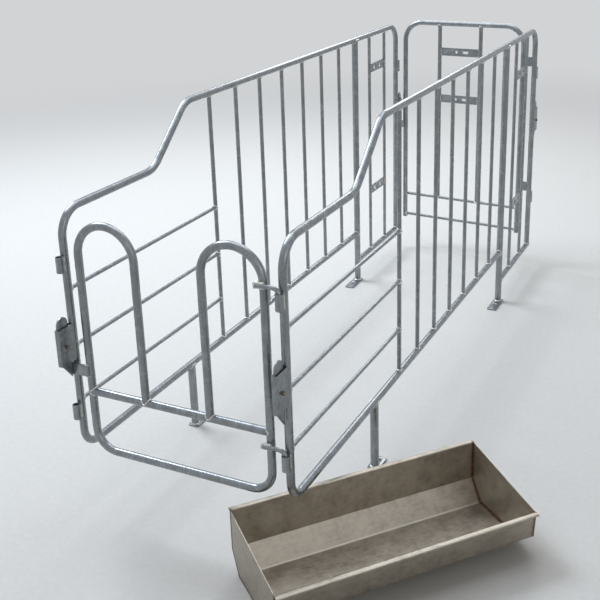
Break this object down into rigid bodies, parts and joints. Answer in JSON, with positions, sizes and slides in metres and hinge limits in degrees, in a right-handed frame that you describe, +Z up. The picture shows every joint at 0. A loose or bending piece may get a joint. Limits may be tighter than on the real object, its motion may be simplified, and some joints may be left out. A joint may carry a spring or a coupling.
{
  "type": "breeding cage",
  "caption": "Sow breeding crate of welded galvanised tube with a hooped head gate, a hinged rear gate, drop latches on the posts, drilled feet and a loose folded sheet feed trough.",
  "frame": {"origin": "on the floor, in the middle of the whole set's box, trough included", "axes": "+X to the right as seen from the head end, +Y towards the rear gate, +Z up"},
  "size_m": [1.1696, 2.6126, 1.0606],
  "materials": {
    "galvanised_tube": "hot-dip galvanised, silvery and mottled",
    "zinc_sheet": "zinc-coated folded sheet, dull grey",
    "bolt_steel": "steel bolt with a light brown tinge",
    "stainless_sheet": "satin stainless sheet, smudged, brown tint along the end welds"
  },
  "bodies": {
    "crate": {"left_panel_frame": "galvanised_tube", "left_bar_1": "galvanised_tube", "left_bar_2": "galvanised_tube", "left_bar_3": "galvanised_tube", "left_bar_4": "galvanised_tube", "left_bar_5": "galvanised_tube", "left_bar_6": "galvanised_tube", "left_bar_7": "galvanised_tube", "left_tail_bar_1": "galvanised_tube", "left_tail_bar_2": "galvanised_tube", "left_head_rail_1": "galvanised_tube", "left_head_rail_2": "galvanised_tube", "left_head_rail_3": "galvanised_tube", "left_tail_rail": "galvanised_tube", "left_front_leg": "galvanised_tube", "left_rear_leg": "galvanised_tube", "left_lower_stop_plate": "galvanised_tube", "left_upper_stop_plate": "galvanised_tube", "left_front_latch_housing": "zinc_sheet", "left_rear_latch_housing": "zinc_sheet", "left_front_latch_bolt": "bolt_steel", "left_rear_latch_bolt": "bolt_steel", "right_panel_frame": "galvanised_tube", "right_bar_1": "galvanised_tube", "right_bar_2": "galvanised_tube", "right_bar_3": "galvanised_tube", "right_bar_4": "galvanised_tube", "right_bar_5": "galvanised_tube", "right_bar_6": "galvanised_tube", "right_bar_7": "galvanised_tube", "right_tail_bar_1": "galvanised_tube", "right_tail_bar_2": "galvanised_tube", "right_head_rail_1": "galvanised_tube", "right_head_rail_2": "galvanised_tube", "right_head_rail_3": "galvanised_tube", "right_tail_rail": "galvanised_tube", "right_front_leg": "galvanised_tube", "right_rear_leg": "galvanised_tube", "right_lower_stop_plate": "galvanised_tube", "right_upper_stop_plate": "galvanised_tube", "right_front_latch_housing": "zinc_sheet", "right_rear_latch_housing": "zinc_sheet", "right_front_latch_bolt": "bolt_steel", "right_rear_latch_bolt": "bolt_steel", "feed_trough": "stainless_sheet"},
    "front_gate": {"front_gate_frame": "galvanised_tube", "front_gate_cross_bar": "galvanised_tube", "front_gate_lower_hook": "galvanised_tube", "front_gate_upper_hook": "galvanised_tube", "front_gate_striker": "galvanised_tube"},
    "rear_gate": {"rear_gate_frame": "galvanised_tube", "rear_gate_rail": "galvanised_tube", "rear_gate_ladder": "galvanised_tube", "rear_gate_lower_hinge_strap": "galvanised_tube", "rear_gate_upper_hinge_strap": "galvanised_tube", "rear_gate_striker": "galvanised_tube"},
    "left_front_latch": {"left_front_latch_plate": "zinc_sheet"},
    "left_rear_latch": {"left_rear_latch_plate": "zinc_sheet"},
    "right_front_latch": {"right_front_latch_plate": "zinc_sheet"},
    "right_rear_latch": {"right_rear_latch_plate": "zinc_sheet"}
  },
  "joints": [
    {"name": "front_gate_hinge", "type": "hinge", "parent": "crate", "child": "front_gate", "pos_m": [0.05449, -1.0984, 0.54], "axis": [0, 0, 1], "range_deg": [0, 78]},
    {"name": "rear_gate_hinge", "type": "hinge", "parent": "crate", "child": "rear_gate", "pos_m": [0.05449, 1.2522, 0.585], "axis": [0, 0, 1], "range_deg": [-61, 5]},
    {"name": "left_front_latch_slide", "type": "slide", "parent": "crate", "child": "left_front_latch", "axis": [0, 0, 1], "range_m": [0, 0.042]},
    {"name": "left_rear_latch_slide", "type": "slide", "parent": "crate", "child": "left_rear_latch", "axis": [0, 0, 1], "range_m": [0, 0.042]},
    {"name": "right_front_latch_slide", "type": "slide", "parent": "crate", "child": "right_front_latch", "axis": [0, 0, 1], "range_m": [0, 0.042]},
    {"name": "right_rear_latch_slide", "type": "slide", "parent": "crate", "child": "right_rear_latch", "axis": [0, 0, 1], "range_m": [0, 0.042]}
  ]
}
